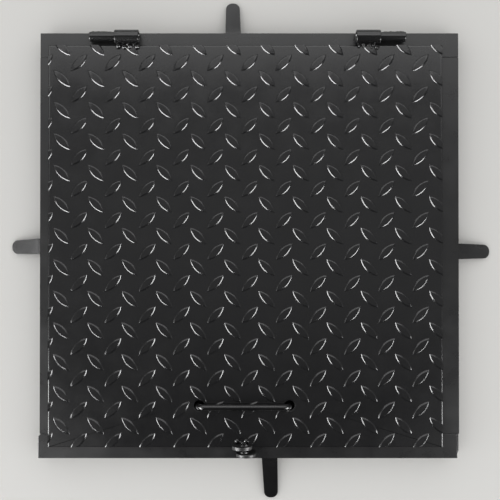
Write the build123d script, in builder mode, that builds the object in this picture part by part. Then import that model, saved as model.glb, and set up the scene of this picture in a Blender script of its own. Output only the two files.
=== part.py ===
"""Hinged steel access cover: an angle-iron frame to be cast into concrete and a tear-plate lid that lies on it.

The lid turns on two pipe-and-rod hinges at the back. A drop handle of round bar lifts it, and two upright
ears at the front take a padlock. Four flat straps stand out of the frame's legs to hold it in the concrete.
Millimetres, +Z up, +Y to the hinge side. The origin is under the middle, level with the frame's lower edges.
"""

import math
import os
from itertools import product

from build123d import *

# Frame of hot-rolled equal angle, heel outside and on top
frame_width = 523.0
frame_depth = 531.0
angle_leg = 30.0
angle_thickness = 3.0
angle_root_radius = 5.0
angle_toe_radius = 2.0
angle_heel_radius = 1.5
front_angle_shift = -2.0
front_corner_snipe = 3.0
seam_gap = 0.5
cope_clearance = 0.3
cope_snipe = 6.0

# Corner weld beads
seam_bead_width = 8.0
seam_bead_height = 2.0
corner_bead_leg = 4.5
corner_bead_bulge = 0.71
corner_bead_end_gap = 2.0

# Anchor straps: reach is how far each one stands out of the frame, lean how far its tip is off to one side
strap_width = 20.0
strap_tip_width = 17.0
strap_thickness = 4.0
strap_stub = 7.5
strap_bend_radius = 8.0
strap_end_radius = 8.0
strap_drop = 15.0
strap_bead_leg = 4.0
strap_bead_lip = 0.4
strap_bead_slope = 45.0
back_reach, back_offset, back_lean = 45.5, -20.5, -0.8
front_reach, front_offset, front_lean = 56.5, 25.5, 2.4
left_reach, left_offset, left_lean = 42.3, -1.0, -1.3
right_reach, right_offset, right_lean = 45.8, -7.5, -0.3

# Lid of tear plate: the margins are how much of the frame's flange shows on each side of it
lid_back_margin = 16.0
lid_front_margin = 15.0
lid_left_margin = 11.0
lid_right_margin = 21.0
lid_thickness = 4.0
lid_seat_gap = 0.2
tear_length = 29.6
tear_width = 9.0
tear_height = 1.5
tear_draft = 38.0
tear_pitch_across = 42.75
tear_pitch_deep = 39.4
tear_first_across = 15.0
tear_first_deep = 1.5
tear_angle = 45.0

# Hinges of pipe on round rod
tube_outer = 17.2
tube_bore = 12.4
tube_length = 30.0
tube_bevel = 0.8
tube_end_gap = 0.5
tube_rub_gap = 0.3
rod_diameter = 12.0
rod_welded_length = 31.0
rod_end_recess = 1.0
rod_bevel = 1.0
hinge_setback = 7.0
left_hinge_inset = 109.5
right_hinge_inset = 114.0
rod_bead_end_gap = 3.0
rod_bead_bulge = 1.2
tube_bead_end_gap = 1.0
tube_bead_run = 5.0
tube_bead_lift = 0.5

# Padlock ears, drilled together so that one shackle passes through both
ear_width = 25.0
shackle_hole = 11.0
shackle_height = 13.7
shackle_offset = -6.5
lid_ear_thickness = 4.0
lid_ear_offset = -9.0
frame_ear_thickness = 4.5
frame_ear_offset = -4.0
frame_ear_setback = 6.0
ear_bead_leg = 5.0
ear_bead_end_gap = 2.5
frame_ear_bead_leg = 4.0

# Drop handle, stopped by a washer under each hole
handle_bar_diameter = 8.0
handle_leg_spacing = 112.4
handle_bend_radius = 8.0
handle_hole = 12.0
handle_offset = -1.3
handle_setback = 51.5
handle_slack_across = -0.6
handle_slack_deep = -1.4
handle_rest_gap = 1.6
handle_lift = 22.0
washer_outer = 24.0
washer_hole = 8.4
washer_thickness = 3.0
washer_stop_gap = 0.2
washer_bead_leg = 3.0
washer_bead_lip = 0.3

# Places that follow from the sizes above
frame_x = (left_reach - right_reach) / 2
frame_y = (front_reach - back_reach) / 2
leg_middle = strap_drop
flange_top = leg_middle + angle_leg / 2
flange_bottom = flange_top - angle_thickness
leg_bottom = flange_top - angle_leg
left_face = frame_x - frame_width / 2
right_face = frame_x + frame_width / 2
back_face = frame_y + frame_depth / 2
front_face = frame_y - frame_depth / 2
side_walls = [(left_face, 1), (right_face, -1)]
cross_walls = [(back_face, -1), (front_face, 1)]

lid_bottom = flange_top + lid_seat_gap
lid_top = lid_bottom + lid_thickness
lid_back = back_face - lid_back_margin
lid_front = front_face + lid_front_margin
lid_left = left_face + lid_left_margin
lid_right = right_face - lid_right_margin
lid_width = lid_right - lid_left
lid_depth = lid_back - lid_front
lid_x = (lid_left + lid_right) / 2

hinge_y = back_face - hinge_setback
hinge_z = flange_top + tube_outer / 2 + tube_rub_gap

shackle_x = frame_x + shackle_offset
shackle_z = flange_top + shackle_height
handle_x = lid_x + handle_offset
handle_y = lid_front + handle_setback
handle_holes = [(handle_x + side * handle_leg_spacing / 2, handle_y) for side in (-1, 1)]

pieces = {}


def keep(name, part):
    """Label a finished piece and remember it for export."""
    part.label = name
    pieces[name] = part
    return part


def angle_section():
    """The angle's L section: heel at the origin, x into the frame, y up."""
    with BuildSketch() as section:
        with BuildLine():
            Polyline(
                (0, 0),
                (angle_leg, 0),
                (angle_leg, -angle_thickness),
                (angle_thickness, -angle_thickness),
                (angle_thickness, -angle_leg),
                (0, -angle_leg),
                close=True,
            )
        make_face()
        corners = section.vertices()
        root = corners.sort_by_distance((angle_thickness, -angle_thickness, 0))[0]
        flange_toe = corners.sort_by_distance((angle_leg, -angle_thickness, 0))[0]
        leg_toe = corners.sort_by_distance((angle_thickness, -angle_leg, 0))[0]
        heel = corners.sort_by_distance((0, 0, 0))[0]
        fillet(root, angle_root_radius)
        fillet([flange_toe, leg_toe], angle_toe_radius)
        fillet(heel, angle_heel_radius)
    return section.sketch


def cross_angles():
    """The back and front bars, the full width of the frame, with square ends."""
    with BuildPart() as back_bar:
        with BuildSketch(Plane(origin=(left_face, back_face, flange_top), x_dir=(0, -1, 0), z_dir=(-1, 0, 0))):
            add(angle_section())
        extrude(amount=-frame_width)
    keep("frame_back_angle", back_bar.part)
    with BuildPart() as front_bar:
        with Locations((front_angle_shift, 0, 0)):
            add(mirror(back_bar.part, about=Plane.XZ.offset(-frame_y), mode=Mode.PRIVATE))
        with BuildSketch(Plane.XY.offset(flange_top)):
            with Locations((left_face + front_angle_shift, front_face + angle_leg)):
                Rectangle(math.sqrt(2) * front_corner_snipe, math.sqrt(2) * front_corner_snipe, rotation=45)
        extrude(amount=-angle_thickness, mode=Mode.SUBTRACT)
    keep("frame_front_angle", front_bar.part)


def side_angles():
    """The side bars: their flanges butt on the cross bars' flanges and their coped legs on the others' legs."""
    flange_start = front_face + angle_leg + seam_gap
    flange_end = back_face - angle_leg - seam_gap
    leg_start = front_face + angle_thickness
    leg_end = back_face - angle_thickness
    cope_top = flange_bottom - cope_clearance
    with BuildPart() as left_bar:
        with BuildSketch(Plane(origin=(left_face, flange_start, flange_top), x_dir=(1, 0, 0), z_dir=(0, -1, 0))):
            add(angle_section())
        extrude(amount=flange_start - flange_end)
        with BuildSketch(Plane.YZ.offset(left_face)):
            with BuildLine():
                Polyline(
                    (leg_start, leg_bottom),
                    (leg_end, leg_bottom),
                    (leg_end, cope_top - cope_snipe),
                    (leg_end - cope_snipe, cope_top),
                    (leg_start + cope_snipe, cope_top),
                    (leg_start, cope_top - cope_snipe),
                    close=True,
                )
            make_face()
        extrude(amount=angle_thickness)
    keep("frame_left_angle", left_bar.part)
    with BuildPart() as right_bar:
        mirror(left_bar.part, about=Plane.YZ.offset(frame_x))
    keep("frame_right_angle", right_bar.part)


def corner_welds():
    """At each corner a bead under the flange seam and one up the inner corner of the two legs."""
    bead_top = flange_bottom - angle_root_radius - corner_bead_end_gap
    seam_length = angle_leg - angle_thickness - angle_root_radius - angle_toe_radius
    bulge = corner_bead_bulge * corner_bead_leg
    with BuildPart() as welds:
        for (side_face, side_in), (cross_face, cross_in) in product(side_walls, cross_walls):
            seam_y = cross_face + cross_in * (angle_leg + seam_gap / 2)
            inner_x = side_face + side_in * angle_thickness
            inner_y = cross_face + cross_in * angle_thickness
            with BuildSketch(Plane.YZ.offset(inner_x + side_in * angle_root_radius)):
                with BuildLine():
                    near = (seam_y - seam_bead_width / 2, flange_bottom)
                    far = (seam_y + seam_bead_width / 2, flange_bottom)
                    ThreePointArc(near, (seam_y, flange_bottom - seam_bead_height), far)
                    Line(far, near)
                make_face()
            extrude(amount=side_in * seam_length)
            with BuildSketch(Plane.XY.offset(leg_bottom + corner_bead_end_gap)):
                with BuildLine():
                    along = (inner_x + side_in * corner_bead_leg, inner_y)
                    across = (inner_x, inner_y + cross_in * corner_bead_leg)
                    ThreePointArc(along, (inner_x + side_in * bulge, inner_y + cross_in * bulge), across)
                    Polyline(across, (inner_x, inner_y), along)
                make_face()
            extrude(amount=bead_top - leg_bottom - corner_bead_end_gap)
    keep("corner_welds", welds.part)


def strap_slope(run, drop):
    """Slope of a strap whose upper end corner reaches the run and whose lower one reaches the drop."""
    half = strap_thickness / 2
    slope = math.atan2(drop, run)
    for _ in range(12):
        slope = math.atan2(drop - half * math.cos(slope), run - half * math.sin(slope))
    return slope


def strap_bead():
    """The bead round a strap's end, lying flat: a low block with sloping flanks, for the strap to be cut out of."""
    around = 2 * strap_bead_leg + strap_bead_lip
    with BuildPart() as block:
        with BuildSketch():
            Rectangle(strap_width + around, strap_thickness + around)
        extrude(amount=strap_bead_leg, taper=strap_bead_slope)
    return block.part


def anchor(side, leg_face_point, outward, reach, lean):
    """A flat strap welded on end to the frame's leg, bent down to its narrower round tip, and the bead round it."""
    turn = math.atan2(lean, reach)
    length = reach / math.cos(turn)
    out_dir = Vector(outward).rotate(Axis.Z, math.degrees(turn))
    sideways = out_dir.cross(Vector(0, 0, 1))
    face = Plane(origin=leg_face_point, x_dir=Vector(outward).cross(Vector(0, 0, 1)), z_dir=outward)
    slope = strap_slope(length - strap_stub, strap_drop)
    half = strap_thickness / 2
    tip = (length - half * math.sin(slope), half * math.cos(slope) - strap_drop)
    with BuildPart() as strap:
        with BuildSketch(Plane(origin=leg_face_point, x_dir=out_dir, z_dir=sideways)):
            with BuildLine():
                FilletPolyline((-strap_stub, 0), (strap_stub, 0), tip, radius=strap_bend_radius)
            trace(line_width=strap_thickness)
        extrude(amount=strap_width / 2, both=True)
        with BuildSketch(Plane(origin=leg_face_point, x_dir=out_dir, z_dir=(0, 0, 1))) as plan:
            with BuildLine():
                Polyline(
                    (-strap_stub, -strap_width / 2), (0, -strap_width / 2), (length, -strap_tip_width / 2),
                    (length, strap_tip_width / 2), (0, strap_width / 2), (-strap_stub, strap_width / 2),
                    close=True,
                )
            make_face()
            fillet(plan.vertices().sort_by(Axis.X)[-2:], strap_end_radius)
        extrude(amount=strap_drop + strap_thickness, both=True, mode=Mode.INTERSECT)
        split(bisect_by=face, keep=Keep.TOP)
    with BuildPart() as bead:
        add(strap_bead().moved(face.location))
        add(strap.part, mode=Mode.SUBTRACT)
    keep("anchor_" + side, strap.part)
    keep("anchor_weld_" + side, bead.part)


def tear_grid(first_across, first_deep):
    """Centres of one of the two tear families, from the lid's back left corner, with a row to spare."""
    columns = math.ceil(lid_width / tear_pitch_across) + 1
    rows = math.ceil(lid_depth / tear_pitch_deep) + 1
    reach = tear_length / 2
    return [
        (lid_left + across, lid_back - deep)
        for across in (first_across + tear_pitch_across * i for i in range(-1, columns))
        for deep in (first_deep + tear_pitch_deep * j for j in range(-1, rows))
        if -reach / math.sqrt(2) < across < lid_width + reach / math.sqrt(2)
        and -reach / math.sqrt(2) < deep < lid_depth + reach / math.sqrt(2)
    ]


def tear_lug():
    """One tear: a low lug, pointed at both ends, with drafted flanks and a flat top."""
    point, shoulder = tear_length / 2, tear_width / 2
    with BuildPart() as lug:
        with BuildSketch():
            with BuildLine():
                Polyline((-point, 0), (0, -shoulder), (point, 0), (0, shoulder), close=True)
            make_face()
        extrude(amount=tear_height, taper=tear_draft)
    return lug.part


def tear_is_whole(x, y):
    """Whether a tear misses the lid's edges and the handle's holes."""
    reach = tear_length / 2
    in_edges = lid_left + reach < x < lid_right - reach and lid_front + reach < y < lid_back - reach
    hole_reach = reach + handle_hole / 2
    return in_edges and all(math.dist((x, y), hole) > hole_reach for hole in handle_holes)


def lid():
    """The tear plate, sheared through its tears, with two clearance holes for the handle.

    Returns the plain plate and the tears too, for trimming what is welded on them.
    """
    half_across, half_deep = tear_pitch_across / 2, tear_pitch_deep / 2
    falling = tear_grid(tear_first_across, tear_first_deep)
    rising = tear_grid(tear_first_across + half_across, tear_first_deep + half_deep)
    lug = tear_lug()
    turned = [(x, y, -tear_angle) for x, y in falling] + [(x, y, tear_angle) for x, y in rising]
    placed = [(tear_is_whole(x, y), lug.moved(Location((x, y, lid_top), (0, 0, turn)))) for x, y, turn in turned]
    with BuildSketch() as outline:
        with Locations((lid_x, (lid_back + lid_front) / 2)):
            Rectangle(lid_width, lid_depth)
        with Locations(*handle_holes):
            Circle(handle_hole / 2, mode=Mode.SUBTRACT)
    with BuildPart() as cut_tears:
        add([tear for whole, tear in placed if not whole])
        with BuildSketch(Plane.XY.offset(lid_top)):
            add(outline.sketch)
        extrude(amount=tear_height, mode=Mode.INTERSECT)
    field = [tear for whole, tear in placed if whole] + cut_tears.solids()
    with BuildPart() as plate:
        with BuildSketch(Plane.XY.offset(lid_bottom)):
            add(outline.sketch)
        extrude(amount=lid_thickness)
        plain = plate.part
        add(field, clean=False)
    keep("lid_plate", plate.part)
    return plain, field


def lid_near(plain, field, x, y, half_length):
    """The plain plate and the tears close to a point, for trimming a piece that stands there."""
    return [plain] + [
        tear for tear in field
        if abs(tear.center().X - x) < half_length + tear_length and abs(tear.center().Y - y) < tear_length
    ]


def hinge(tube_x, outward, plate, field):
    """One hinge: a pipe welded to the lid turns on a rod welded to the frame on the pipe's outer side."""
    rod_start = tube_x - outward * (tube_length / 2 - rod_end_recess)
    rod_length = tube_length - rod_end_recess + tube_end_gap + rod_welded_length
    rod_end_x = rod_start + outward * rod_length
    rod_bead_length = rod_welded_length - rod_bevel - rod_bead_end_gap
    with BuildPart() as rod:
        with BuildSketch(Plane(origin=(rod_start, hinge_y, hinge_z), z_dir=(outward, 0, 0))):
            Circle(rod_diameter / 2)
        extrude(amount=rod_length)
        chamfer(rod.edges().filter_by(GeomType.CIRCLE), rod_bevel)

    with BuildPart() as tube:
        with BuildSketch(Plane.YZ.offset(tube_x)):
            with Locations((hinge_y, hinge_z)):
                Circle(tube_outer / 2)
                Circle(tube_bore / 2, mode=Mode.SUBTRACT)
        extrude(amount=tube_length / 2, both=True)
        chamfer(tube.edges().filter_by(GeomType.CIRCLE).group_by(SortBy.RADIUS)[-1], tube_bevel)

    rod_radius = rod_diameter / 2
    bead_start = rod_end_x - outward * (rod_bevel + rod_bead_length)
    with BuildPart() as rod_weld:
        with BuildSketch(Plane.YZ.offset(bead_start)):
            with BuildLine():
                toe = (back_face - angle_heel_radius, flange_top)
                shoulder = (hinge_y + 0.85 * rod_radius, hinge_z + 0.6 * rod_radius)
                bulge = (back_face + rod_bead_bulge, (toe[1] + hinge_z) / 2)
                root = (hinge_y - 0.6 * rod_radius, flange_top)
                ThreePointArc(toe, bulge, shoulder)
                Polyline(shoulder, (hinge_y, hinge_z), root, toe)
            make_face()
        extrude(amount=outward * rod_bead_length)
        add(rod.part, mode=Mode.SUBTRACT)

    tube_radius = tube_outer / 2
    tube_bead_length = tube_length - 2 * tube_bead_end_gap
    with BuildPart() as tube_weld:
        with BuildSketch(Plane.YZ.offset(tube_x)):
            with BuildLine():
                under_tube = (hinge_y - 0.67 * tube_radius, hinge_z - 0.76 * tube_radius)
                over_tube = (hinge_y - 0.97 * tube_radius, hinge_z - 0.2 * tube_radius)
                under_lid = (lid_back, lid_bottom + tube_bead_lift)
                toe = (lid_back - tube_bead_run, lid_top)
                crown = (lid_back - 0.35 * tube_bead_run, lid_top + 0.4 * tube_bead_run)
                Polyline(over_tube, (hinge_y, hinge_z), under_tube, under_lid, (toe[0], under_lid[1]), toe)
                ThreePointArc(toe, crown, over_tube)
            make_face()
        extrude(amount=tube_bead_length / 2, both=True)
        with BuildSketch(Plane.YZ.offset(tube_x)):
            with Locations((hinge_y, hinge_z)):
                Circle(tube_radius)
        extrude(amount=tube_length, both=True, mode=Mode.SUBTRACT)
        add(lid_near(plate, field, tube_x, lid_back, tube_bead_length / 2), mode=Mode.SUBTRACT)
    return rod.part, tube.part, rod_weld.part, tube_weld.part


def ear(name, centre_x, front, thickness, foot, seat=None):
    """An upright lug with a round top and the shackle hole. A foot that stands on the tears is cut to them."""
    with BuildPart() as lug:
        with BuildSketch(Plane.XZ.offset(-front)):
            with Locations((centre_x, shackle_z)):
                Circle(ear_width / 2)
            with Locations((centre_x, (foot + shackle_z) / 2)):
                Rectangle(ear_width, shackle_z - foot)
            with Locations((shackle_x, shackle_z)):
                Circle(shackle_hole / 2, mode=Mode.SUBTRACT)
        extrude(amount=-thickness)
        if seat:
            add(seat, mode=Mode.SUBTRACT)
    return keep(name, lug.part)


def ear_weld(name, centre_x, face, away, foot, leg, seat=None):
    """A fillet bead along one side of an ear's foot."""
    with BuildPart() as bead:
        with BuildSketch(Plane.YZ.offset(centre_x)):
            with BuildLine():
                toe, top = (face + away * leg, foot), (face, foot + leg)
                ThreePointArc(toe, (face + away * 0.6 * leg, foot + 0.6 * leg), top)
                Polyline(top, (face, foot), toe)
            make_face()
        extrude(amount=ear_width / 2 - ear_bead_end_gap, both=True)
        if seat:
            add(seat, mode=Mode.SUBTRACT)
    return keep(name, bead.part)


def handle():
    """The bent bar, dropped until it lies just over the tears, with a washer welded on each leg's end."""
    bar_radius = handle_bar_diameter / 2
    grip_z = lid_top + tear_height + handle_rest_gap + bar_radius
    washer_top = lid_bottom - handle_lift - washer_stop_gap
    leg_end = washer_top - washer_thickness - washer_bead_leg
    left = handle_x + handle_slack_across - handle_leg_spacing / 2
    right = left + handle_leg_spacing
    y = handle_y + handle_slack_deep
    with BuildPart() as bar:
        with BuildLine():
            FilletPolyline(
                (left, y, leg_end), (left, y, grip_z), (right, y, grip_z), (right, y, leg_end),
                radius=handle_bend_radius,
            )
        with BuildSketch(Plane(origin=(left, y, leg_end), z_dir=(0, 0, 1))):
            Circle(bar_radius)
        sweep()
    keep("handle_bar", bar.part)
    with BuildPart() as washers:
        with BuildSketch(Plane.XY.offset(washer_top)):
            with Locations((left, y), (right, y)):
                Circle(washer_outer / 2)
                Circle(washer_hole / 2, mode=Mode.SUBTRACT)
        extrude(amount=-washer_thickness)
    keep("handle_washers", washers.part)
    with BuildPart() as beads:
        with BuildSketch(Plane.XY.offset(leg_end)):
            with Locations((left, y), (right, y)):
                Circle(bar_radius + washer_bead_lip)
        extrude(amount=washer_bead_leg, taper=-math.degrees(math.atan(1 - washer_bead_lip / washer_bead_leg)))
        with BuildSketch(Plane.XY.offset(leg_end)):
            with Locations((left, y), (right, y)):
                Circle(bar_radius)
        extrude(amount=washer_bead_leg, mode=Mode.SUBTRACT)
    keep("handle_welds", beads.part)


cross_angles()
side_angles()
corner_welds()

anchor("back", (frame_x + back_offset, back_face, leg_middle), (0, 1, 0), back_reach, -back_lean)
anchor("front", (frame_x + front_offset, front_face, leg_middle), (0, -1, 0), front_reach, front_lean)
anchor("left", (left_face, frame_y + left_offset, leg_middle), (-1, 0, 0), left_reach, -left_lean)
anchor("right", (right_face, frame_y + right_offset, leg_middle), (1, 0, 0), right_reach, right_lean)

plain_plate, tear_field = lid()
left_hinge = hinge(left_face + left_hinge_inset, -1, plain_plate, tear_field)
right_hinge = hinge(right_face - right_hinge_inset, 1, plain_plate, tear_field)
hinge_names = ("hinge_rods", "hinge_tubes", "hinge_rod_welds", "hinge_tube_welds")
for name, *pair in zip(hinge_names, left_hinge, right_hinge):
    with BuildPart() as both_hinges:
        add(pair)
    keep(name, both_hinges.part)

lid_ear_x, frame_ear_x = frame_x + lid_ear_offset, frame_x + frame_ear_offset
lid_ear_back = lid_front + lid_ear_thickness
frame_ear_front = front_face + frame_ear_setback
seat = lid_near(plain_plate, tear_field, lid_ear_x, lid_ear_back, ear_width / 2)
ear("lid_lock_ear", lid_ear_x, lid_front, lid_ear_thickness, lid_top, seat)
ear_weld("lid_ear_weld", lid_ear_x, lid_ear_back, 1, lid_top, ear_bead_leg, seat)
ear("frame_lock_ear", frame_ear_x, frame_ear_front, frame_ear_thickness, flange_top)
ear_weld("frame_ear_weld", frame_ear_x, frame_ear_front, -1, flange_top, frame_ear_bead_leg)

handle()

os.makedirs("parts", exist_ok=True)
for name, part in pieces.items():
    export_step(part, f"parts/{name}.step")
    box = part.bounding_box()
    print(name, "from", box.min, "to", box.max, "volume", round(part.volume))
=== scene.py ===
import math

import bmesh
import bpy
from mathutils import Matrix, Vector


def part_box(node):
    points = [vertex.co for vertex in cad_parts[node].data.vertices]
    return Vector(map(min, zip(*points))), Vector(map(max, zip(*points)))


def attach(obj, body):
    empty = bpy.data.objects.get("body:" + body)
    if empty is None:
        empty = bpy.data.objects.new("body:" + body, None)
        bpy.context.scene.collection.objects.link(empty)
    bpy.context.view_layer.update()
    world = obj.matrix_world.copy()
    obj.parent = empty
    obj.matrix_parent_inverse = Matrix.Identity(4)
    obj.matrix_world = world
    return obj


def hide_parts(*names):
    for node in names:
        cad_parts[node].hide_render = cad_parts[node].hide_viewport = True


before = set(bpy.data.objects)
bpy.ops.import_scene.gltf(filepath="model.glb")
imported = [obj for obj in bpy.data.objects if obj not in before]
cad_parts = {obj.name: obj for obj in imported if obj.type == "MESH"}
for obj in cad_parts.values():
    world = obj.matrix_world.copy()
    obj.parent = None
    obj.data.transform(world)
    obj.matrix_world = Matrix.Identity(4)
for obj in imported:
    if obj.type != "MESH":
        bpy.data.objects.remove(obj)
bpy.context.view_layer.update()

mm = 0.001
hair = 0.01 * mm  # nearer than this counts as the same place
rest = {name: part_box(name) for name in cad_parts}


# Small helpers

def low(node):
    return rest[node][0]


def high(node):
    return rest[node][1]


def link(name, mesh):
    piece = bpy.data.objects.new(name, mesh)
    bpy.context.scene.collection.objects.link(piece)
    return piece


def meshFrom(name, points, faces):
    mesh = bpy.data.meshes.new(name)
    mesh.from_pydata(points, [], faces)
    return mesh


def evaluated(piece, name):  # the plain mesh that an object's modifiers or curve settings give
    bpy.context.view_layer.update()
    graph = bpy.context.evaluated_depsgraph_get()
    mesh = bpy.data.meshes.new_from_object(piece.evaluated_get(graph), depsgraph=graph)
    mesh.name = name
    return mesh


def applied(piece):  # bakes the modifiers of a piece into its mesh
    mesh = evaluated(piece, piece.name)
    piece.modifiers.clear()
    old, piece.data = piece.data, mesh
    bpy.data.meshes.remove(old)


def outward(mesh):
    form = bmesh.new()
    form.from_mesh(mesh)
    bmesh.ops.remove_doubles(form, verts=form.verts, dist=0.002 * mm)
    bmesh.ops.recalc_face_normals(form, faces=form.faces)
    form.to_mesh(mesh)
    form.free()
    return mesh


def shadeSmooth(mesh, sharpAngle=None):
    mesh.polygons.foreach_set("use_smooth", [True] * len(mesh.polygons))
    if sharpAngle:
        mesh.set_sharp_from_angle(angle=math.radians(sharpAngle))
    return mesh


def joinMeshes(name, meshes):
    form = bmesh.new()
    for mesh in meshes:
        form.from_mesh(mesh)
        bpy.data.meshes.remove(mesh)
    whole = bpy.data.meshes.new(name)
    form.to_mesh(whole)
    form.free()
    return whole


def placed(mesh, matrix):
    mesh.transform(matrix)
    return mesh


def finishPiece(piece, body, slotName, material, *nodes):
    piece.data.materials.clear()
    piece.data.materials.append(material)
    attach(piece, body)
    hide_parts(*nodes)


# Materials: gloss black enamel over steel, as a dip tank or a roller leaves it

def srgb(hexColour):
    channels = [int(hexColour[i:i + 2], 16) / 255 for i in (1, 3, 5)]
    linear = [c / 12.92 if c <= 0.04045 else ((c + 0.055) / 1.055) ** 2.4 for c in channels]
    return (*linear, 1)


def addNode(tree, kind, settings=None, links=None):
    node = tree.nodes.new(kind)
    for key, value in (settings or {}).items():
        if isinstance(key, str) and hasattr(node, key) and key not in node.inputs:
            setattr(node, key, value)
        else:
            node.inputs[key].default_value = value
    for key, source in (links or {}).items():
        tree.links.new(source, node.inputs[key])
    return node


# Sizes in millimetres of what shows in the paint
surfaceValues = {"drift": 90, "speck": 1.3, "haze": 35, "grain": 0.9, "bumpDepth": 0.25, "dust": "#6f6d69", "ior": 1.5}


def enamel(name, values):
    material = bpy.data.materials.new(name)
    material.use_nodes = True
    tree = material.node_tree
    tree.nodes.clear()
    place = addNode(tree, "ShaderNodeTexCoord").outputs["Object"]

    # Slow drift of the paint's tone over a hand's width
    drift = addNode(tree, "ShaderNodeTexNoise", {"Scale": 1 / (surfaceValues["drift"] * mm), "Detail": 3.0,
                                                  "Roughness": 0.55}, {"Vector": place})
    tone = addNode(tree, "ShaderNodeMix", {"data_type": "RGBA", 6: srgb(values["deep"]), 7: srgb(values["pale"])},
                   {0: drift.outputs["Fac"]})

    # Fine dust that the tack of the paint has caught, in specks of about a millimetre
    dust = addNode(tree, "ShaderNodeTexNoise", {"Scale": 1 / (surfaceValues["speck"] * mm), "Detail": 2.0},
                   {"Vector": place})
    specks = addNode(tree, "ShaderNodeMapRange", {1: 0.66, 2: 0.80, 3: 0.0, 4: values["dust"]},
                     {0: dust.outputs["Fac"]})
    dusty = addNode(tree, "ShaderNodeMix", {"data_type": "RGBA", 7: srgb(surfaceValues["dust"])},
                    {0: specks.outputs[0], 6: tone.outputs[2]})

    # Dull patches where hands and rain have been
    haze = addNode(tree, "ShaderNodeTexNoise", {"Scale": 1 / (surfaceValues["haze"] * mm), "Detail": 5.0,
                                                "Roughness": 0.6}, {"Vector": place})
    gloss = addNode(tree, "ShaderNodeMapRange", {1: 0.35, 2: 0.70, 3: values["gloss"], 4: values["matt"]},
                    {0: haze.outputs["Fac"]})

    # Orange peel a few millimetres across, with the grain of the rolled steel under it
    peel = addNode(tree, "ShaderNodeTexNoise", {"Scale": 1 / (values["peelSize"] * mm), "Detail": 1.5},
                   {"Vector": place})
    grain = addNode(tree, "ShaderNodeTexNoise", {"Scale": 1 / (surfaceValues["grain"] * mm), "Detail": 3.0},
                    {"Vector": place})
    relief = addNode(tree, "ShaderNodeMix", {"data_type": "FLOAT", 0: values["grain"]},
                     {2: peel.outputs["Fac"], 3: grain.outputs["Fac"]})
    bump = addNode(tree, "ShaderNodeBump", {"Strength": values["relief"],
                                               "Distance": surfaceValues["bumpDepth"] * mm},
                   {"Height": relief.outputs[0]})

    paint = addNode(tree, "ShaderNodeBsdfPrincipled", {"IOR": surfaceValues["ior"]},
                    {"Base Color": dusty.outputs[2], "Roughness": gloss.outputs[0], "Normal": bump.outputs["Normal"]})
    addNode(tree, "ShaderNodeOutputMaterial", None, {"Surface": paint.outputs["BSDF"]})
    return material


# Gloss alkyd enamel, brushed or dipped: near black, with a soft mirror that shows the lamps as broad glows.
# Mill scale under it dulls the angle, sheet takes it smoothest, beads of weld gather it thick and wet-looking.
enamels = {  # peelSize in millimetres, dust, grain and relief as shares
    "sheetEnamel": {"deep": "#181819", "pale": "#1c1c1d", "gloss": 0.16, "matt": 0.23, "dust": 0.05,
                    "peelSize": 9.0, "grain": 0.05, "relief": 0.04},
    "angleEnamel": {"deep": "#151516", "pale": "#1b1b1c", "gloss": 0.26, "matt": 0.36, "dust": 0.06,
                    "peelSize": 6.0, "grain": 0.15, "relief": 0.08},
    "flatBarEnamel": {"deep": "#0f0f10", "pale": "#151516", "gloss": 0.21, "matt": 0.29, "dust": 0.08,
                      "peelSize": 4.0, "grain": 0.20, "relief": 0.08},
    "earEnamel": {"deep": "#0b0b0c", "pale": "#111112", "gloss": 0.38, "matt": 0.46, "dust": 0.05,
                  "peelSize": 3.0, "grain": 0.20, "relief": 0.10},
    "roundBarEnamel": {"deep": "#0d0d0e", "pale": "#131314", "gloss": 0.16, "matt": 0.23, "dust": 0.05,
                       "peelSize": 3.0, "grain": 0.15, "relief": 0.08},
    "pipeEnamel": {"deep": "#0f0f10", "pale": "#151516", "gloss": 0.19, "matt": 0.26, "dust": 0.06,
                   "peelSize": 4.0, "grain": 0.20, "relief": 0.10},
    "weldEnamel": {"deep": "#0d0d0e", "pale": "#131314", "gloss": 0.06, "matt": 0.11, "dust": 0.03,
                   "peelSize": 2.0, "grain": 0.10, "relief": 0.10},
}
paint = {name: enamel(name, values) for name, values in enamels.items()}
print("materials made:", len(paint))


# Camera a metre straight over the cover, leaning by half a degree

cameraValues = {"place": (-0.95, -9.0, 1031.2), "tilt": 0.49, "focal": 801.6, "framePixels": 500, "sensor": 36.0}
lens = bpy.data.cameras.new("camera")
lens.sensor_width = cameraValues["sensor"]
lens.lens = cameraValues["focal"] * cameraValues["sensor"] / cameraValues["framePixels"]  # focal is in pixels
lens.clip_end = 20
eye = bpy.data.objects.new("camera", lens)
eye.location = Vector(cameraValues["place"]) * mm
eye.rotation_euler = (math.radians(cameraValues["tilt"]), 0, 0)
bpy.context.scene.collection.objects.link(eye)
bpy.context.scene.camera = eye


# Studio: low soft lamps at the front left, front right and back light the rims of the tears. The high back lamp
# gives the plate its fall from light at the back to dark at the front, and the side lamp lights the left strap.

def softLamp(name, place, size, power, aim=(0, 0, 0.03), onFloor=False):
    light = bpy.data.lights.new(name, "AREA")
    light.shape = "RECTANGLE"
    light.size, light.size_y = size
    light.energy = power
    lamp = bpy.data.objects.new(name, light)
    lamp.location = place
    lamp.rotation_euler = (Vector(aim) - Vector(place)).to_track_quat("-Z", "Y").to_euler()
    lamp.visible_diffuse = onFloor  # black paint only mirrors the lamps, so all but two are kept off the matt floor
    bpy.context.scene.collection.objects.link(lamp)


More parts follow.
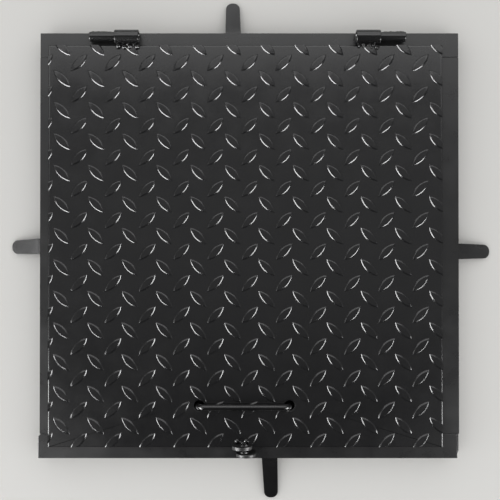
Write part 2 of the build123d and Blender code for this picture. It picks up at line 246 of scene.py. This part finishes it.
studio = {
    "frontLeft": {"place": (-0.945, -0.60, 0.58), "size": (1.0, 0.45), "power": 38},
    "frontRight": {"place": (0.965, -0.60, 0.57), "size": (0.7, 0.42), "power": 24},
    "lowBack": {"place": (0, 1.7, 0.80), "size": (3.4, 0.60), "power": 13},
    "highLeft": {"place": (-1.2, -1.05, 2.4), "size": (1.1, 1.0), "power": 4.2, "onFloor": True},
    "sideLeft": {"place": (-1.9, -0.1, 2.0), "size": (1.4, 0.8), "power": 9.5},
    "highBack": {"place": (0, 1.43, 2.15), "size": (4.0, 1.3), "power": 36, "aim": (0, 0.2, 0.03)},
    "highRight": {"place": (1.2, -1.05, 2.4), "size": (1.1, 1.0), "power": 1.9, "onFloor": True},
}
for name, values in studio.items():
    softLamp(name, **values)

stageValues = {"floorReach": 6, "paper": "#cfcecb", "paperRoughness": 0.9,
               "light": "#fafafa", "backdrop": "#d2d1ce",  # what lights the floor, and what the camera sees
               "mirroredFront": "#1e1e1e", "mirroredBack": "#a4a4a4", "darkTo": -0.21}  # the room in the paint

floorReach = stageValues["floorReach"]
floorPoints = [(x * floorReach, y * floorReach, 0) for x, y in ((-1, -1), (1, -1), (1, 1), (-1, 1))]
floor = link("studioFloor", meshFrom("studioFloor", floorPoints, [(0, 1, 2, 3)]))
floorPaper = bpy.data.materials.new("floorPaper")
floorPaper.use_nodes = True
paper = floorPaper.node_tree.nodes["Principled BSDF"]
paper.inputs["Base Color"].default_value = srgb(stageValues["paper"])
paper.inputs["Roughness"].default_value = stageValues["paperRoughness"]
floor.data.materials.append(floorPaper)

# The room is even and pale, but in the paint its front half is dark, as the dark sides of the photo's tears show
world = bpy.data.worlds.new("studioAir")
world.use_nodes = True
worldTree = world.node_tree
worldTree.nodes.clear()
direction = addNode(worldTree, "ShaderNodeTexCoord").outputs["Generated"]
axes = addNode(worldTree, "ShaderNodeSeparateXYZ", None, {0: direction}).outputs
depth = addNode(worldTree, "ShaderNodeMapRange", {1: stageValues["darkTo"], 2: 0.0, 3: 0.0, 4: 1.0}, {0: axes["Y"]})
room = addNode(worldTree, "ShaderNodeMix",
               {"data_type": "RGBA", 6: srgb(stageValues["mirroredFront"]), 7: srgb(stageValues["mirroredBack"])},
               {0: depth.outputs[0]})
rays = addNode(worldTree, "ShaderNodeLightPath").outputs
mirrored = addNode(worldTree, "ShaderNodeMix", {"data_type": "RGBA", 6: srgb(stageValues["light"])},
                   {0: rays["Is Glossy Ray"], 7: room.outputs[2]})
straight = addNode(worldTree, "ShaderNodeMath", {"operation": "ADD", "use_clamp": True},
                   {0: rays["Is Camera Ray"], 1: rays["Is Transmission Ray"]})
air = addNode(worldTree, "ShaderNodeMix", {"data_type": "RGBA", 7: srgb(stageValues["backdrop"])},
              {0: straight.outputs[0], 6: mirrored.outputs[2]})
sky = addNode(worldTree, "ShaderNodeBackground", None, {"Color": air.outputs[2]})
addNode(worldTree, "ShaderNodeOutputWorld", None, {"Surface": sky.outputs[0]})
bpy.context.scene.world = world
bpy.context.scene.view_settings.view_transform = "Standard"
print("camera, lamps and floor set")


# Tear plate lid: a Geometry Nodes tree sets one tear on the two crossed grids of points

lidValues = {
    "tearLength": 29.6, "tearWidth": 10.6,
    # Rings of a tear from its foot to its flat top: how far in from the outline, how high
    "tearRings": [(-0.1, -0.05), (0.5, 0.56), (1.4, 1.12), (1.6, 1.19), (1.75, 1.19)],
    "pointFade": 0.3, "fadePower": 8,  # how much lower a tear's points are, and how late it falls to them
    "sideSteps": 8, "tearSharp": 24,  # faces along each side of a tear, and the angle in degrees that stays sharp
    "pitchAcross": 42.55, "pitchDeep": 39.28,  # from one tear to the next of the same family
    "firstAcross": 16.8, "firstDeep": 2.4,  # first tear from the lid's back left corner
    "plateThickness": 4.0, "edgeRound": 1.5, "crispRound": 0.4, "rimSegments": 3, "flatInset": 0.8, "plateSharp": 40,
    "holeDiameter": 12.0, "holeOffset": (-1.3, 51.5),  # middle of the two holes from the middle of the front edge
    "holeSpacing": 112.4, "holeSides": 32, "drillSides": 24, "drillReach": 12.0,
}


def tearMesh(values):
    # Each ring is a lens of two arcs
    length, width, steps = values["tearLength"], values["tearWidth"], values["sideSteps"]
    rings = values["tearRings"]
    radius = (length ** 2 + width ** 2) / (4 * width)
    drop = radius - width / 2
    points, faces = [], []
    for inset, height in rings:
        r = radius - inset
        half = math.sqrt(max(r * r - drop * drop, 0))
        spread = math.asin(half / r)
        for side in (1, -1):
            for i in range(steps):
                turn = -side * spread + side * 2 * spread * i / steps
                z = height * (1 - values["pointFade"] * abs(turn / spread) ** values["fadePower"])
                points.append((r * math.sin(turn) * mm, side * (r * math.cos(turn) - drop) * mm, z * mm))
    count = 2 * steps
    for k in range(len(rings) - 1):
        for i in range(count):
            j = (i + 1) % count
            faces.append((k * count + i, (k + 1) * count + i, (k + 1) * count + j, k * count + j))
    top = (len(rings) - 1) * count
    for i in range(steps):  # the top is closed by strips across it
        a, b = top + i, top + i + 1
        c, d = top + (count - i - 1) % count, top + (count - i) % count
        corners = list(dict.fromkeys([a, b, c, d if i else a]))
        if len(corners) > 2:
            faces.append(corners[::-1])
    # Sharp only where the two sides meet at a point
    return shadeSmooth(outward(meshFrom("tear", points, faces)), values["tearSharp"])


def newTree(name, inputs):
    tree = bpy.data.node_groups.new(name, "GeometryNodeTree")
    tree.interface.new_socket(name="Geometry", in_out="OUTPUT", socket_type="NodeSocketGeometry")
    for title, kind in inputs.items():
        tree.interface.new_socket(name=title, in_out="INPUT", socket_type="NodeSocket" + kind)
    return tree


def addTree(holder, tree, values):  # hangs a tree on an object and sets its inputs
    modifier = holder.modifiers.new(tree.name, "NODES")
    modifier.node_group = tree
    sockets = {s.name: s.identifier for s in tree.interface.items_tree if s.in_out == "INPUT"}
    for title, value in values.items():
        modifier[sockets[title]] = value


def tearFieldTree():
    tree = newTree("tearField", {"Tear": "Object", "Columns": "Int", "Rows": "Int", "Pitch Across": "Float",
                                 "Pitch Deep": "Float", "First Tear": "Vector", "Paint": "Material"})
    given = addNode(tree, "NodeGroupInput").outputs
    tear = addNode(tree, "GeometryNodeObjectInfo", None, {"Object": given["Tear"]}).outputs["Geometry"]
    families = []
    for share, lean in ((0.0, -45.0), (0.5, 45.0)):  # the second family stands half a pitch on, turned the other way
        spans = []
        for count, pitch in (("Columns", "Pitch Across"), ("Rows", "Pitch Deep")):
            gaps = addNode(tree, "ShaderNodeMath", {"operation": "SUBTRACT", 1: 1.0}, {0: given[count]})
            span = addNode(tree, "ShaderNodeMath", {"operation": "MULTIPLY"}, {0: gaps.outputs[0], 1: given[pitch]})
            spans.append(span.outputs[0])
        grid = addNode(tree, "GeometryNodeMeshGrid", None,
                       {"Size X": spans[0], "Size Y": spans[1],
                        "Vertices X": given["Columns"], "Vertices Y": given["Rows"]})
        # The grid is centred, so half its span brings its back left point to the first tear
        backLeft = addNode(tree, "ShaderNodeCombineXYZ", None, {"X": spans[0], "Y": spans[1]})
        half = addNode(tree, "ShaderNodeVectorMath", {"operation": "MULTIPLY", 1: (0.5, -0.5, 0.0)},
                       {0: backLeft.outputs[0]})
        pitches = addNode(tree, "ShaderNodeCombineXYZ", None, {"X": given["Pitch Across"], "Y": given["Pitch Deep"]})
        step = addNode(tree, "ShaderNodeVectorMath", {"operation": "MULTIPLY", 1: (share, -share, 0.0)},
                       {0: pitches.outputs[0]})
        shift = addNode(tree, "ShaderNodeVectorMath", {"operation": "ADD"}, {0: half.outputs[0], 1: step.outputs[0]})
        origin = addNode(tree, "ShaderNodeVectorMath", {"operation": "ADD"},
                         {0: shift.outputs[0], 1: given["First Tear"]})
        moved = addNode(tree, "GeometryNodeTransform", None,
                        {"Geometry": grid.outputs["Mesh"], "Translation": origin.outputs[0]})
        copies = addNode(tree, "GeometryNodeInstanceOnPoints", {"Rotation": (0, 0, math.radians(lean))},
                         {"Points": moved.outputs[0], "Instance": tear})
        families.append(copies.outputs[0])
    together = addNode(tree, "GeometryNodeJoinGeometry")
    for family in families:
        tree.links.new(family, together.inputs[0])
    real = addNode(tree, "GeometryNodeRealizeInstances", None, {"Geometry": together.outputs[0]})
    painted = addNode(tree, "GeometryNodeSetMaterial", None,
                      {"Geometry": real.outputs[0], "Material": given["Paint"]})
    addNode(tree, "NodeGroupOutput", None, {0: painted.outputs[0]})
    return tree


def sortParts(form):  # some mesh operators list their new parts in another order at each run
    lopsided = Vector((7.31, 3.17, 1.93))
    form.verts.sort(key=lambda vert: vert.co.dot(lopsided))
    form.faces.sort(key=lambda face: face.calc_center_median().dot(lopsided))


def platePanel(values, corners, holes):
    # A flat plate with rounded edges and round holes, made from one outline and its bevelled rim
    (left, front), (right, back) = corners
    bottom, top = low("lid_plate").z, low("lid_plate").z + values["plateThickness"] * mm
    radius, sides = values["holeDiameter"] / 2 * mm, values["holeSides"]
    turns = [math.tau * i / sides for i in range(sides)]
    loops = [((left, front), (right, front), (right, back), (left, back))]
    loops += [[(x + radius * math.cos(turn), y + radius * math.sin(turn)) for turn in turns] for x, y in holes]
    form = bmesh.new()
    edges = []
    for loop in loops:
        verts = [form.verts.new((x, y, bottom)) for x, y in loop]
        edges += [form.edges.new((verts[i], verts[(i + 1) % len(verts)])) for i in range(len(verts))]
    bmesh.ops.triangle_fill(form, use_beauty=True, use_dissolve=False, edges=edges)
    body = bmesh.ops.extrude_face_region(form, geom=form.faces[:])
    raised = [v for v in body["geom"] if isinstance(v, bmesh.types.BMVert)]
    bmesh.ops.translate(form, verts=raised, vec=(0, 0, top - bottom))
    bmesh.ops.recalc_face_normals(form, faces=form.faces)
    rims = [e for e in form.edges if len(e.link_faces) == 2 and e.calc_face_angle() > math.radians(60)
            and abs(e.verts[0].co.z - e.verts[1].co.z) < hair]
    # The shears rolled the plate's left, right and back edges over and left its front edge crisp
    crisp = [e for e in rims if max(v.co.y for v in e.verts) < front + hair]
    rolled = [e for e in rims if e not in crisp]
    for edges, size in ((rolled, values["edgeRound"]), (crisp, values["crispRound"])):
        bmesh.ops.bevel(form, geom=[e for e in edges if e.is_valid], offset=size * mm,
                        segments=values["rimSegments"], profile=0.5, affect="EDGES", clamp_overlap=True)
    flats = [f for f in form.faces if abs(f.normal.z) > 0.999]
    # A narrow border keeps the rims' soft shading off the flat faces
    bmesh.ops.inset_region(form, faces=flats, thickness=values["flatInset"] * mm)
    sortParts(form)
    mesh = bpy.data.meshes.new("panel")
    form.to_mesh(mesh)
    form.free()
    return mesh


def drillTears(form, centre, values):
    # Cuts away what stands over a hole, and closes each cut tear with a wall down to the plate
    radius, sides = values["holeDiameter"] / 2 * mm, values["drillSides"]
    near = [f for f in form.faces if (f.calc_center_median() - centre).length < radius + values["drillReach"] * mm]
    for i in range(sides):
        away = Vector((math.cos(math.tau * i / sides), math.sin(math.tau * i / sides), 0))
        around = near + [e for f in near for e in f.edges] + [v for f in near for v in f.verts]
        parts = list(dict.fromkeys(around))  # each once, in a fixed order
        cut = bmesh.ops.bisect_plane(form, geom=parts, plane_co=centre + away * radius, plane_no=away, dist=1e-7)
        near = [g for g in cut["geom"] if isinstance(g, bmesh.types.BMFace)]
    over = [f for f in near if (f.calc_center_median() - centre).xy.length < radius]
    bmesh.ops.delete(form, geom=over, context="FACES")
    rim = [e for e in form.edges if e.is_boundary and all((v.co - centre).xy.length < radius * 1.01 for v in e.verts)]
    if rim:
        wall = bmesh.ops.extrude_edge_only(form, edges=rim)
        for vert in (g for g in wall["geom"] if isinstance(g, bmesh.types.BMVert)):
            vert.co.z = centre.z + values["tearRings"][0][1] * mm


def buildLid():
    values = lidValues
    left, right, front, back = low("lid_plate").x, high("lid_plate").x, low("lid_plate").y, high("lid_plate").y
    top = low("lid_plate").z + values["plateThickness"] * mm
    tear = link("tearPattern", tearMesh(values))
    carrier = link("tearCarrier", meshFrom("tearCarrier", [], []))
    columns = math.ceil((right - left) / (values["pitchAcross"] * mm)) + 2
    rows = math.ceil((back - front) / (values["pitchDeep"] * mm)) + 2
    firstX = left + (values["firstAcross"] - values["pitchAcross"]) * mm
    firstY = back - (values["firstDeep"] - values["pitchDeep"]) * mm
    addTree(carrier, tearFieldTree(), {
        "Tear": tear, "Columns": columns, "Rows": rows, "Pitch Across": values["pitchAcross"] * mm,
        "Pitch Deep": values["pitchDeep"] * mm, "First Tear": (firstX, firstY, top), "Paint": paint["sheetEnamel"]})
    field = evaluated(carrier, "tears")
    bpy.data.objects.remove(carrier)
    bpy.data.objects.remove(tear)

    # The plate was sheared from a bigger one, so the edges cut through the tears
    form = bmesh.new()
    form.from_mesh(field)
    cuts = [((left, 0, 0), (-1, 0, 0)), ((right, 0, 0), (1, 0, 0)),
            ((0, front, 0), (0, -1, 0)), ((0, back, 0), (0, 1, 0))]
    for spot, away in cuts:
        parts = form.verts[:] + form.edges[:] + form.faces[:]
        cut = bmesh.ops.bisect_plane(form, geom=parts, plane_co=spot, plane_no=away, clear_outer=True, dist=1e-7)
        rim = [e for e in cut["geom_cut"] if isinstance(e, bmesh.types.BMEdge)]
        bmesh.ops.edgenet_fill(form, edges=rim)
    holeX, holeY = (left + right) / 2 + values["holeOffset"][0] * mm, front + values["holeOffset"][1] * mm
    holes = [(holeX + side * values["holeSpacing"] / 2 * mm, holeY) for side in (-1, 1)]
    for x, y in holes:
        drillTears(form, Vector((x, y, top)), values)
    sortParts(form)
    form.to_mesh(field)
    form.free()
    panel = platePanel(values, ((left, front), (right, back)), holes)
    shadeSmooth(panel, values["plateSharp"])
    lid = link("lidPlate", joinMeshes("lidPlate", [panel, field]))
    finishPiece(lid, "lid", "painted_tear_plate", paint["sheetEnamel"], "lid_plate")


buildLid()
print("tear plate lid made")


# Frame bars, straps and ears: the solids' own shapes with the soft edges that rolling, cropping and paint leave

barValues = {"edgeRound": 0.6, "strapRound": 1.2, "earRound": 1.1, "segments": 3, "sharp": 40}
strapValues = {"stub": 7.5, "slope": 21.4, "bendLength": 3.0}  # the solids' straight start, slope in degrees and bend
strapSides = {"back": (1, 1), "front": (1, -1), "left": (0, -1), "right": (0, 1)}  # axis and way each strap points


def softCopy(node, name, edgeRound, reshape=None):
    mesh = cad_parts[node].data.copy()
    mesh.name = name
    form = bmesh.new()
    form.from_mesh(mesh)
    bmesh.ops.remove_doubles(form, verts=form.verts, dist=hair)
    bmesh.ops.dissolve_limit(form, angle_limit=math.radians(0.5), verts=form.verts, edges=form.edges)
    if reshape:
        reshape(form)
    form.to_mesh(mesh)
    form.free()
    piece = link(name, mesh)
    bevel = piece.modifiers.new("softEdges", "BEVEL")
    bevel.width = edgeRound * mm
    bevel.segments = barValues["segments"]
    bevel.limit_method = "ANGLE"
    bevel.angle_limit = math.radians(barValues["sharp"])
    shadeSmooth(piece.data, barValues["sharp"])
    normals = piece.modifiers.new("flatFaces", "WEIGHTED_NORMAL")  # keeps big faces flat up to their rounded edges
    normals.keep_sharp = True
    applied(piece)
    return piece


def easeStrap(side):
    # Spreads the bend from the short straight start over the whole strap, as the photo's straps slope from the weld on
    axis, sign = strapSides[side]
    a, b = low(f"anchor_{side}"), high(f"anchor_{side}")
    start, reach = (a if sign > 0 else b)[axis], b[axis] - a[axis]
    stub, half = strapValues["stub"] * mm, strapValues["bendLength"] / 2 * mm

    def drop(along):
        beyond = along - stub
        run = max(beyond, 0) if abs(beyond) > half else (beyond + half) ** 2 / (4 * half)
        return run * math.tan(math.radians(strapValues["slope"]))

    def reshape(form):
        for vert in form.verts:
            along = sign * (vert.co[axis] - start)
            vert.co.z = max(vert.co.z + drop(along) - drop(reach) * along / reach, a.z)

    return reshape


for side in strapSides:
    bar = softCopy(f"frame_{side}_angle", f"{side}Bar", barValues["edgeRound"])
    finishPiece(bar, "frame", "painted_angle", paint["angleEnamel"], f"frame_{side}_angle")
    strap = softCopy(f"anchor_{side}", f"{side}Strap", barValues["strapRound"], reshape=easeStrap(side))
    finishPiece(strap, "frame", "painted_flat_bar", paint["flatBarEnamel"], f"anchor_{side}")
for body in ("lid", "frame"):
    ear = softCopy(f"{body}_lock_ear", f"{body}Ear", barValues["earRound"])
    finishPiece(ear, body, "painted_ear", paint["earEnamel"], f"{body}_lock_ear")
print("frame bars, straps and ears made")


# Turned pieces: each is a profile of (place along the axis, radius) spun into a closed mesh

turnedValues = {"steps": 48, "sharp": 50, "collar": 0.4}  # collar: the short straight ring behind a rounded edge


def lathe(profile, matrix):
    steps = turnedValues["steps"]
    points, faces = [], []
    for i in range(steps):
        turn = math.tau * i / steps
        points += [(along * mm, radius * math.cos(turn) * mm, radius * math.sin(turn) * mm)
                   for along, radius in profile]
    count = len(profile)
    for i in range(steps):
        j = (i + 1) % steps
        for k in range(count - 1):
            faces.append((i * count + k, j * count + k, j * count + k + 1, i * count + k + 1))
    return shadeSmooth(outward(placed(meshFrom("turned", points, faces), matrix)), turnedValues["sharp"])


def rounded(length, radius, edge):  # a bar's profile with two rounded ends
    curve = [(edge * (1 - math.cos(a)), radius - edge * (1 - math.sin(a))) for a in (0, 0.4, 0.8, 1.2, math.pi / 2)]
    curve.append((edge + turnedValues["collar"], radius))
    return [(0, 0)] + curve + [(length - x, r) for x, r in reversed(curve)] + [(length, 0)]


hingeValues = {
    "rodDiameter": 12.0, "rodLength": 60.5, "rodEdge": 1.1,
    "tubeOuter": 17.2, "tubeBore": 12.4, "tubeLength": 30.0, "tubeEdge": 0.9, "boreEdge": 0.25,
}


def buildHinges():
    values = hingeValues
    y = (low("hinge_rods").y + high("hinge_rods").y) / 2
    z = (low("hinge_rods").z + high("hinge_rods").z) / 2
    rodLength, tubeLength = values["rodLength"], values["tubeLength"]
    rodProfile = rounded(rodLength, values["rodDiameter"] / 2, values["rodEdge"])
    outer, bore, edge = values["tubeOuter"] / 2, values["tubeBore"] / 2, values["tubeEdge"]
    rim = [(values["boreEdge"], bore), (0, bore + values["boreEdge"]), (0, outer - edge),
           (0.3 * edge, outer - 0.3 * edge), (edge, outer), (edge + turnedValues["collar"], outer)]
    tubeProfile = rim + [(tubeLength - x, r) for x, r in reversed(rim)]
    tubeProfile.append(tubeProfile[0])
    rods, tubes = [], []
    for rodStart, tubeStart in ((low("hinge_rods").x, low("hinge_tubes").x),
                                (high("hinge_rods").x - rodLength * mm, high("hinge_tubes").x - tubeLength * mm)):
        rods.append(lathe(rodProfile, Matrix.Translation((rodStart, y, z))))
        tubes.append(lathe(tubeProfile, Matrix.Translation((tubeStart, y, z))))
    finishPiece(link("hingeRods", joinMeshes("hingeRods", rods)), "frame", "painted_round_bar",
                paint["roundBarEnamel"], "hinge_rods")
    finishPiece(link("hingeTubes", joinMeshes("hingeTubes", tubes)), "lid", "painted_pipe",
                paint["pipeEnamel"], "hinge_tubes")


buildHinges()
print("hinges made")


# Drop handle: one round bar bent twice by hand, with a washer under the lid on each leg

handleValues = {
    "barDiameter": 8.0, "bendRadius": 8.0, "bendSteps": 10, "beforeBend": 1.0, "barSides": 24,
    "washerOuter": 24.0, "washerHole": 8.4, "washerThickness": 3.0,
    "holeEdge": 0.3, "punchedEdge": 0.4, "roundedEdge": 0.8,  # a washer's edges, the rounded one underneath
}


def tubeAlong(name, route, radius, sides):
    curve = bpy.data.curves.new(name, "CURVE")
    curve.dimensions = "3D"
    line = curve.splines.new("POLY")
    line.points.add(len(route) - 1)
    for point, place in zip(line.points, route):
        point.co = (*place, 1)
    curve.bevel_depth = radius
    curve.bevel_resolution = sides // 4 - 2
    curve.use_fill_caps = True
    holder = link(name, curve)
    mesh = evaluated(holder, name)
    bpy.data.objects.remove(holder)
    bpy.data.curves.remove(curve)
    return mesh


def buildHandle():
    values = handleValues
    radius, bend, steps = values["barDiameter"] / 2 * mm, values["bendRadius"] * mm, values["bendSteps"]
    ahead = bend + values["beforeBend"] * mm
    lowCorner, highCorner = low("handle_bar"), high("handle_bar")
    y = (lowCorner.y + highCorner.y) / 2
    left, right, grip, foot = lowCorner.x + radius, highCorner.x - radius, highCorner.z - radius, lowCorner.z
    turns = [math.pi / 2 * i / steps for i in range(steps + 1)]
    route = [(left, y, foot), (left, y, grip - ahead)]
    route += [(left + bend * (1 - math.cos(turn)), y, grip - bend * (1 - math.sin(turn))) for turn in turns]
    route += [(left + ahead, y, grip), (right - ahead, y, grip)]
    route += [(right - bend * (1 - math.sin(turn)), y, grip - bend * (1 - math.cos(turn))) for turn in turns]
    route += [(right, y, grip - ahead), (right, y, foot)]
    bar = shadeSmooth(outward(tubeAlong("handleBar", route, radius, values["barSides"])), turnedValues["sharp"])
    finishPiece(link("handleBar", bar), "handle", "painted_round_bar", paint["roundBarEnamel"], "handle_bar")
    outer, hole, thick = values["washerOuter"] / 2, values["washerHole"] / 2, values["washerThickness"]
    inner, punched, rolled = values["holeEdge"], values["punchedEdge"], values["roundedEdge"]
    ring = [(inner, hole), (0, hole + inner), (0, outer - rolled), (rolled, outer),
            (thick - punched, outer), (thick, outer - punched),
            (thick, hole + inner), (thick - inner, hole), (inner, hole)]
    upright = Matrix.Rotation(-math.pi / 2, 4, "Y")
    washers = [lathe(ring, Matrix.Translation((x, y, low("handle_washers").z)) @ upright) for x in (left, right)]
    finishPiece(link("handleWashers", joinMeshes("handleWashers", washers)), "handle", "painted_washer",
                paint["flatBarEnamel"], "handle_washers")


buildHandle()
print("handle made")


# Weld beads: lumps of weld set close together along a run and melted into one skin

# Every run starts from these; flow is how often the skin is smoothed, as molten metal smooths itself
beadValues = {"pitch": 1.5, "unevenness": 0.22, "flow": 4, "voxel": 0.35}


def beadTree():
    tree = newTree("weldBead", {"Geometry": "Geometry", "Pitch": "Float", "Bead Radius": "Float",
                                "Unevenness": "Float", "Voxel": "Float", "Seed": "Int", "Paint": "Material"})
    given = addNode(tree, "NodeGroupInput").outputs
    points = addNode(tree, "GeometryNodeCurveToPoints", {"mode": "LENGTH"},
                     {"Curve": given["Geometry"], "Length": given["Pitch"]})
    lump = addNode(tree, "GeometryNodeMeshIcoSphere", {"Subdivisions": 2}, {"Radius": given["Bead Radius"]})
    least = addNode(tree, "ShaderNodeMath", {"operation": "SUBTRACT", 0: 1.0}, {1: given["Unevenness"]})
    most = addNode(tree, "ShaderNodeMath", {"operation": "ADD", 0: 1.0}, {1: given["Unevenness"]})
    size = addNode(tree, "FunctionNodeRandomValue", {"data_type": "FLOAT"},
                   {2: least.outputs[0], 3: most.outputs[0], "Seed": given["Seed"]})
    sway = addNode(tree, "ShaderNodeMath", {"operation": "MULTIPLY"}, {0: given["Bead Radius"], 1: given["Unevenness"]})
    negative = addNode(tree, "ShaderNodeMath", {"operation": "MULTIPLY", 1: -1.0}, {0: sway.outputs[0]})
    lowest = addNode(tree, "ShaderNodeCombineXYZ", None, {axis: negative.outputs[0] for axis in "XYZ"})
    highest = addNode(tree, "ShaderNodeCombineXYZ", None, {axis: sway.outputs[0] for axis in "XYZ"})
    wander = addNode(tree, "FunctionNodeRandomValue", {"data_type": "FLOAT_VECTOR"},
                     {0: lowest.outputs[0], 1: highest.outputs[0], "Seed": given["Seed"]})
    jogged = addNode(tree, "GeometryNodeSetPosition", None,
                     {"Geometry": points.outputs["Points"], "Offset": wander.outputs[0]})
    lumps = addNode(tree, "GeometryNodeInstanceOnPoints", None,
                    {"Points": jogged.outputs[0], "Instance": lump.outputs["Mesh"], "Scale": size.outputs[1]})
    real = addNode(tree, "GeometryNodeRealizeInstances", None, {"Geometry": lumps.outputs[0]})
    mass = addNode(tree, "GeometryNodeMeshToVolume", {"resolution_mode": "VOXEL_SIZE"},
                   {"Mesh": real.outputs[0], "Voxel Size": given["Voxel"]})
    skin = addNode(tree, "GeometryNodeVolumeToMesh", {"resolution_mode": "VOXEL_SIZE", "Adaptivity": 0.05},
                   {"Volume": mass.outputs[0], "Voxel Size": given["Voxel"]})
    smooth = addNode(tree, "GeometryNodeSetShadeSmooth", None, {"Geometry": skin.outputs[0]})
    painted = addNode(tree, "GeometryNodeSetMaterial", None,
                      {"Geometry": smooth.outputs[0], "Material": given["Paint"]})
    addNode(tree, "NodeGroupOutput", None, {0: painted.outputs[0]})
    return tree


weldTree = beadTree()


def bead(routes, **own):  # routes are lists of points in millimetres
    values = beadValues | own
    meshes = []
    for number, route in enumerate(routes):
        curve = bpy.data.curves.new("run", "CURVE")
        curve.dimensions = "3D"
        line = curve.splines.new("POLY")
        line.points.add(len(route) - 1)
        for point, place in zip(line.points, route):
            point.co = (*(c * mm for c in place), 1)
        run = link("run", curve)
        addTree(run, weldTree, {
            "Pitch": values["pitch"] * mm, "Bead Radius": values["radius"] * mm, "Unevenness": values["unevenness"],
            "Voxel": values["voxel"] * mm, "Seed": values["seed"] + number, "Paint": paint["weldEnamel"]})
        mesh = evaluated(run, "bead")
        bpy.data.objects.remove(run)
        bpy.data.curves.remove(curve)
        form = bmesh.new()
        form.from_mesh(mesh)
        for _ in range(values["flow"]):
            bmesh.ops.smooth_vert(form, verts=form.verts, factor=0.5, use_axis_x=True, use_axis_y=True, use_axis_z=True)
        form.to_mesh(mesh)
        form.free()
        meshes.append(mesh)
    return shadeSmooth(joinMeshes("beads", meshes))


def weldPiece(name, body, mesh, node):
    mesh.name = name
    finishPiece(link(name, mesh), body, "painted_weld", paint["weldEnamel"], node)


def inBox(node, route):  # places from a weld's low corner, or from its high corner where they are negative
    corners = [corner(node) / mm for corner in (low, high)]
    return [tuple(corners[part < 0][i] + part for i, part in enumerate(place)) for place in route]


# Round each strap where it meets the frame's leg
strapWeld = {"inset": 3.4, "offLeg": 0.6}
for number, (side, (axis, sign)) in enumerate(strapSides.items()):
    ring = []
    for across, up in ((1, 1), (-1, 1), (-1, -1), (1, -1), (1, 1)):
        place = [0, 0, up * strapWeld["inset"]]
        place[axis], place[1 - axis] = sign * strapWeld["offLeg"], across * strapWeld["inset"]
        ring.append(place)
    node = f"anchor_weld_{side}"
    weldPiece(f"{side}StrapWeld", "frame", bead([inBox(node, ring)], radius=2.3, seed=11 + number), node)

# Rods to the frame: three runs one above the other, given by how far in from the back and how far up
rodWeld = {"first": 2.0, "last": 25.0, "runs": ((2.6, 2.0), (2.9, 5.2), (3.9, 8.6))}
runs = []
for start, end in ((rodWeld["first"], rodWeld["last"]), (-rodWeld["last"], -rodWeld["first"])):
    runs += [inBox("hinge_rod_welds", [(start, -inward, up), (end, -inward, up)]) for inward, up in rodWeld["runs"]]
weldPiece("hingeRodWelds", "frame", bead(runs, radius=2.5, seed=31, unevenness=0.12), "hinge_rod_welds")

# Pipes to the lid: a smooth fillet with coarse lumps on its lid side
tubeWeld = {"first": 2.4, "last": 25.6, "inward": 5.4, "down": 2.6, "lumpsInward": -2.6, "lumpsUp": 0.6}
runs = []
for start, end in ((tubeWeld["first"], tubeWeld["last"]), (-tubeWeld["last"], -tubeWeld["first"])):
    ends = [(x, tubeWeld["inward"], -tubeWeld["down"]) for x in (start, end)]
    runs.append(inBox("hinge_tube_welds", ends))
fillet = bead(runs, radius=2.4, seed=47, unevenness=0.2)
lumpRuns = [[(x, y + tubeWeld["lumpsInward"], z + tubeWeld["lumpsUp"]) for x, y, z in run] for run in runs]
lumps = bead(lumpRuns, radius=3.3, seed=53, unevenness=0.30, pitch=5.9, flow=0)
weldPiece("hingeTubeWelds", "lid", joinMeshes("beads", [fillet, lumps]), "hinge_tube_welds")

# The lid's ear has a seam along it and a blob at each end, the frame's ear one seam
earWeld = {
    "seam": [(4.5, 1.4, 1.2), (-4.5, 1.4, 1.2)],
    "blobs": [[(3.6, 3.4, 0.4), (3.9, 3.5, 0.5)], [(-4.8, 3.2, 0.4), (-3.9, 3.3, 0.5)]],
    "frameSeam": [(1.5, -1.0, 1.0), (-1.5, -1.0, 1.0)],
}
seam = bead([inBox("lid_ear_weld", earWeld["seam"])], radius=2.2, seed=61, unevenness=0.3, pitch=2.4, flow=2)
blobs = bead([inBox("lid_ear_weld", blob) for blob in earWeld["blobs"]], radius=4.3, seed=63, unevenness=0.06, flow=2)
weldPiece("lidEarWeld", "lid", joinMeshes("beads", [seam, blobs]), "lid_ear_weld")
runs = [inBox("frame_ear_weld", earWeld["frameSeam"])]
weldPiece("frameEarWeld", "frame", bead(runs, radius=2.1, seed=67, unevenness=0.25), "frame_ear_weld")

# Under each corner of the frame a run up the joint of the legs and one along the flange's seam
cornerWeld = {"inset": 1.0, "foot": 2.0, "top": 16.0, "seam": 27.25, "seamStart": 7.0, "seamEnd": 23.0, "down": 0.2}
runs = []
for x, y in ((1, 1), (1, -1), (-1, 1), (-1, -1)):
    joint = [(x * cornerWeld["inset"], y * cornerWeld["inset"], z) for z in (cornerWeld["foot"], cornerWeld["top"])]
    seam = [(x * cornerWeld[part], y * cornerWeld["seam"], -cornerWeld["down"]) for part in ("seamStart", "seamEnd")]
    runs += [inBox("corner_welds", joint), inBox("corner_welds", seam)]
weldPiece("cornerWelds", "frame", bead(runs, radius=2.0, seed=71), "corner_welds")

# A ring round each of the handle's legs, under its washer
washerWeld = {"ring": 4.6, "inset": 7.0, "down": 1.0, "steps": 20}
a, b = low("handle_welds") / mm, high("handle_welds") / mm
runs = []
for x in (a.x + washerWeld["inset"], b.x - washerWeld["inset"]):
    turns = [math.tau * i / washerWeld["steps"] for i in range(washerWeld["steps"] + 1)]
    runs.append([(x + washerWeld["ring"] * math.cos(turn), (a.y + b.y) / 2 + washerWeld["ring"] * math.sin(turn),
                  b.z - washerWeld["down"]) for turn in turns])
weldPiece("handleWelds", "handle", bead(runs, radius=1.8, seed=83), "handle_welds")
print("weld beads made")
